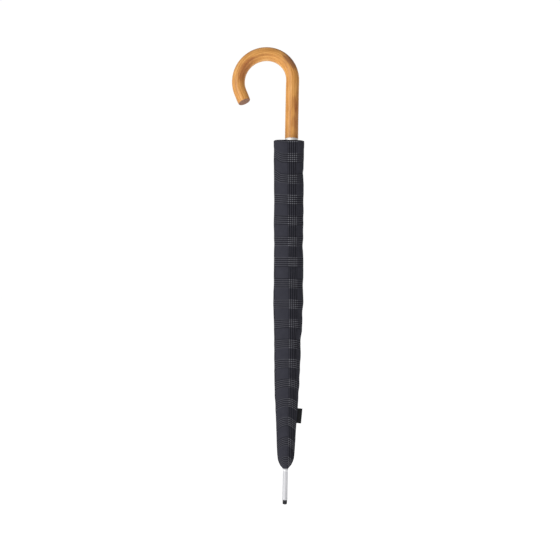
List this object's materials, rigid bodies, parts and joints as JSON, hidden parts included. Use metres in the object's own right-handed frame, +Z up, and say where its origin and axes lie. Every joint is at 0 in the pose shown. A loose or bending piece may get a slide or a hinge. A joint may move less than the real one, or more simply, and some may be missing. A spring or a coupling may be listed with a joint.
{
  "type": "stick umbrella",
  "caption": "Stick umbrella with a bent wooden crook handle, folding ribbed frame, canopy and matching glen check sleeve over the furled body.",
  "frame": {"origin": "centre of the flat foot of the tip cap, on the shaft's axis", "axes": "+Z up the shaft towards the handle, the crook bends towards -X, so the crook lies in the XZ plane"},
  "size_m": [0.1501, 0.0544, 0.9],
  "materials": {
    "handle_wood": "satin",
    "bright_steel": "satin",
    "satin_ferrule": "satin",
    "shaft_steel": "satin",
    "dark_metal": "satin",
    "rib_steel": "satin",
    "canopy_cloth": "matte",
    "check_cloth": "matte",
    "black_tape": "satin",
    "black_leather": "matte",
    "tip_plastic": "satin"
  },
  "bodies": {
    "shaft": {"crook_handle": "handle_wood", "handle_collar": "bright_steel", "shaft_tube": "shaft_steel", "runner_stop_pin": "bright_steel", "top_notch": "dark_metal", "notch_wire": "bright_steel", "canopy_rosette": "black_leather", "ferrule_tube": "satin_ferrule", "ferrule_ring": "bright_steel", "tip_cap": "tip_plastic", "catch_pins": "bright_steel"},
    "rib_1": {"rib_1": "rib_steel", "rib_tip_1": "bright_steel", "rib_rivet_1": "bright_steel"},
    "stretcher_1": {"stretcher_1": "rib_steel"},
    "canopy_gore_1": {"canopy_gore_1": "canopy_cloth"},
    "rib_2": {"rib_2": "rib_steel", "rib_tip_2": "bright_steel", "rib_rivet_2": "bright_steel"},
    "stretcher_2": {"stretcher_2": "rib_steel"},
    "canopy_gore_2": {"canopy_gore_2": "canopy_cloth"},
    "rib_3": {"rib_3": "rib_steel", "rib_tip_3": "bright_steel", "rib_rivet_3": "bright_steel"},
    "stretcher_3": {"stretcher_3": "rib_steel"},
    "canopy_gore_3": {"canopy_gore_3": "canopy_cloth"},
    "rib_4": {"rib_4": "rib_steel", "rib_tip_4": "bright_steel", "rib_rivet_4": "bright_steel"},
    "stretcher_4": {"stretcher_4": "rib_steel"},
    "canopy_gore_4": {"canopy_gore_4": "canopy_cloth"},
    "rib_5": {"rib_5": "rib_steel", "rib_tip_5": "bright_steel", "rib_rivet_5": "bright_steel"},
    "stretcher_5": {"stretcher_5": "rib_steel"},
    "canopy_gore_5": {"canopy_gore_5": "canopy_cloth"},
    "rib_6": {"rib_6": "rib_steel", "rib_tip_6": "bright_steel", "rib_rivet_6": "bright_steel"},
    "stretcher_6": {"stretcher_6": "rib_steel"},
    "canopy_gore_6": {"canopy_gore_6": "canopy_cloth"},
    "rib_7": {"rib_7": "rib_steel", "rib_tip_7": "bright_steel", "rib_rivet_7": "bright_steel", "tie_strap": "black_tape"},
    "stretcher_7": {"stretcher_7": "rib_steel"},
    "canopy_gore_7": {"canopy_gore_7": "canopy_cloth"},
    "rib_8": {"rib_8": "rib_steel", "rib_tip_8": "bright_steel", "rib_rivet_8": "bright_steel"},
    "stretcher_8": {"stretcher_8": "rib_steel"},
    "canopy_gore_8": {"canopy_gore_8": "canopy_cloth"},
    "runner": {"runner": "dark_metal", "runner_wire": "bright_steel"},
    "lower_catch": {"lower_catch": "bright_steel"},
    "upper_catch": {"upper_catch": "bright_steel"},
    "sleeve": {"sleeve_cover": "check_cloth", "sleeve_label": "black_tape"}
  },
  "joints": [
    {"name": "open_fold", "type": "hinge", "parent": "shaft", "child": "rib_1", "pos_m": [0.009, 0, 0.095], "axis": [0, 1, 0], "range_deg": [0, 72], "deforming": ["canopy_gore_1", "canopy_gore_2", "canopy_gore_3", "canopy_gore_4", "canopy_gore_5", "canopy_gore_6", "canopy_gore_7", "canopy_gore_8", "sleeve_cover", "sleeve_label", "lower_catch", "upper_catch"]},
    {"name": "stretcher_1_joint", "type": "hinge", "parent": "rib_1", "child": "stretcher_1", "pos_m": [0.009, 0, 0.375], "axis": [0, -1, 0], "range_deg": [0, 144]},
    {"name": "canopy_gore_1_spread", "type": "hinge", "parent": "rib_1", "child": "canopy_gore_1", "pos_m": [0.009, 0.00373, 0.095], "axis": [-0.7671, -0.3177, -0.5573], "range_deg": [0, 52]},
    {"name": "rib_2_fold", "type": "hinge", "parent": "shaft", "child": "rib_2", "pos_m": [0.00636, 0.00636, 0.095], "axis": [-0.7071, 0.7071, 0], "range_deg": [0, 72]},
    {"name": "stretcher_2_joint", "type": "hinge", "parent": "rib_2", "child": "stretcher_2", "pos_m": [0.00636, 0.00636, 0.375], "axis": [0.7071, -0.7071, 0], "range_deg": [0, 144]},
    {"name": "canopy_gore_2_spread", "type": "hinge", "parent": "rib_2", "child": "canopy_gore_2", "pos_m": [0.00373, 0.009, 0.095], "axis": [-0.3177, -0.7671, -0.5573], "range_deg": [0, 52]},
    {"name": "rib_3_fold", "type": "hinge", "parent": "shaft", "child": "rib_3", "pos_m": [0, 0.009, 0.095], "axis": [-1, 0, 0], "range_deg": [0, 72]},
    {"name": "stretcher_3_joint", "type": "hinge", "parent": "rib_3", "child": "stretcher_3", "pos_m": [0, 0.009, 0.375], "axis": [1, 0, 0], "range_deg": [0, 144]},
    {"name": "canopy_gore_3_spread", "type": "hinge", "parent": "rib_3", "child": "canopy_gore_3", "pos_m": [-0.00373, 0.009, 0.095], "axis": [0.3177, -0.7671, -0.5573], "range_deg": [0, 52]},
    {"name": "rib_4_fold", "type": "hinge", "parent": "shaft", "child": "rib_4", "pos_m": [-0.00636, 0.00636, 0.095], "axis": [-0.7071, -0.7071, 0], "range_deg": [0, 72]},
    {"name": "stretcher_4_joint", "type": "hinge", "parent": "rib_4", "child": "stretcher_4", "pos_m": [-0.00636, 0.00636, 0.375], "axis": [0.7071, 0.7071, 0], "range_deg": [0, 144]},
    {"name": "canopy_gore_4_spread", "type": "hinge", "parent": "rib_4", "child": "canopy_gore_4", "pos_m": [-0.009, 0.00373, 0.095], "axis": [0.7671, -0.3177, -0.5573], "range_deg": [0, 52]},
    {"name": "rib_5_fold", "type": "hinge", "parent": "shaft", "child": "rib_5", "pos_m": [-0.009, 0, 0.095], "axis": [0, -1, 0], "range_deg": [0, 72]},
    {"name": "stretcher_5_joint", "type": "hinge", "parent": "rib_5", "child": "stretcher_5", "pos_m": [-0.009, 0, 0.375], "axis": [0, 1, 0], "range_deg": [0, 144]},
    {"name": "canopy_gore_5_spread", "type": "hinge", "parent": "rib_5", "child": "canopy_gore_5", "pos_m": [-0.009, -0.00373, 0.095], "axis": [0.7671, 0.3177, -0.5573], "range_deg": [0, 52]},
    {"name": "rib_6_fold", "type": "hinge", "parent": "shaft", "child": "rib_6", "pos_m": [-0.00636, -0.00636, 0.095], "axis": [0.7071, -0.7071, 0], "range_deg": [0, 72]},
    {"name": "stretcher_6_joint", "type": "hinge", "parent": "rib_6", "child": "stretcher_6", "pos_m": [-0.00636, -0.00636, 0.375], "axis": [-0.7071, 0.7071, 0], "range_deg": [0, 144]},
    {"name": "canopy_gore_6_spread", "type": "hinge", "parent": "rib_6", "child": "canopy_gore_6", "pos_m": [-0.00373, -0.009, 0.095], "axis": [0.3177, 0.7671, -0.5573], "range_deg": [0, 52]},
    {"name": "rib_7_fold", "type": "hinge", "parent": "shaft", "child": "rib_7", "pos_m": [0, -0.009, 0.095], "axis": [1, 0, 0], "range_deg": [0, 72]},
    {"name": "stretcher_7_joint", "type": "hinge", "parent": "rib_7", "child": "stretcher_7", "pos_m": [0, -0.009, 0.375], "axis": [-1, 0, 0], "range_deg": [0, 144]},
    {"name": "canopy_gore_7_spread", "type": "hinge", "parent": "rib_7", "child": "canopy_gore_7", "pos_m": [0.00373, -0.009, 0.095], "axis": [-0.3177, 0.7671, -0.5573], "range_deg": [0, 52]},
    {"name": "rib_8_fold", "type": "hinge", "parent": "shaft", "child": "rib_8", "pos_m": [0.00636, -0.00636, 0.095], "axis": [0.7071, 0.7071, 0], "range_deg": [0, 72]},
    {"name": "stretcher_8_joint", "type": "hinge", "parent": "rib_8", "child": "stretcher_8", "pos_m": [0.00636, -0.00636, 0.375], "axis": [-0.7071, -0.7071, 0], "range_deg": [0, 144]},
    {"name": "canopy_gore_8_spread", "type": "hinge", "parent": "rib_8", "child": "canopy_gore_8", "pos_m": [0.009, -0.00373, 0.095], "axis": [-0.7671, 0.3177, -0.5573], "range_deg": [0, 52]},
    {"name": "runner_slide_link", "type": "hinge", "parent": "stretcher_1", "child": "runner", "pos_m": [0.009, 0, 0.655], "axis": [0, 1, 0], "range_deg": [0, 72]},
    {"name": "lower_catch_press", "type": "hinge", "parent": "shaft", "child": "lower_catch", "pos_m": [0.00088, -0.00213, 0.644], "axis": [-0.9239, -0.3827, 0], "range_deg": [0, 5], "stiffness_Nm_per_rad": 0.2},
    {"name": "upper_catch_press", "type": "hinge", "parent": "shaft", "child": "upper_catch", "pos_m": [0.00088, -0.00213, 0.3504], "axis": [0.9239, 0.3827, 0], "range_deg": [0, 5], "stiffness_Nm_per_rad": 0.2},
    {"name": "sleeve_pull_off", "type": "slide", "parent": "shaft", "child": "sleeve", "axis": [0, 0, -1], "range_m": [0, 0.7]}
  ],
  "couplings": [
    {"joint": "stretcher_1_joint", "follows": "open_fold", "ratio": 2},
    {"joint": "canopy_gore_1_spread", "follows": "open_fold", "ratio": 0.72217},
    {"joint": "rib_2_fold", "follows": "open_fold", "ratio": 1},
    {"joint": "stretcher_2_joint", "follows": "open_fold", "ratio": 2},
    {"joint": "canopy_gore_2_spread", "follows": "open_fold", "ratio": 0.72217},
    {"joint": "rib_3_fold", "follows": "open_fold", "ratio": 1},
    {"joint": "stretcher_3_joint", "follows": "open_fold", "ratio": 2},
    {"joint": "canopy_gore_3_spread", "follows": "open_fold", "ratio": 0.72217},
    {"joint": "rib_4_fold", "follows": "open_fold", "ratio": 1},
    {"joint": "stretcher_4_joint", "follows": "open_fold", "ratio": 2},
    {"joint": "canopy_gore_4_spread", "follows": "open_fold", "ratio": 0.72217},
    {"joint": "rib_5_fold", "follows": "open_fold", "ratio": 1},
    {"joint": "stretcher_5_joint", "follows": "open_fold", "ratio": 2},
    {"joint": "canopy_gore_5_spread", "follows": "open_fold", "ratio": 0.72217},
    {"joint": "rib_6_fold", "follows": "open_fold", "ratio": 1},
    {"joint": "stretcher_6_joint", "follows": "open_fold", "ratio": 2},
    {"joint": "canopy_gore_6_spread", "follows": "open_fold", "ratio": 0.72217},
    {"joint": "rib_7_fold", "follows": "open_fold", "ratio": 1},
    {"joint": "stretcher_7_joint", "follows": "open_fold", "ratio": 2},
    {"joint": "canopy_gore_7_spread", "follows": "open_fold", "ratio": 0.72217},
    {"joint": "rib_8_fold", "follows": "open_fold", "ratio": 1},
    {"joint": "stretcher_8_joint", "follows": "open_fold", "ratio": 2},
    {"joint": "canopy_gore_8_spread", "follows": "open_fold", "ratio": 0.72217},
    {"joint": "runner_slide_link", "follows": "open_fold", "ratio": 1}
  ]
}
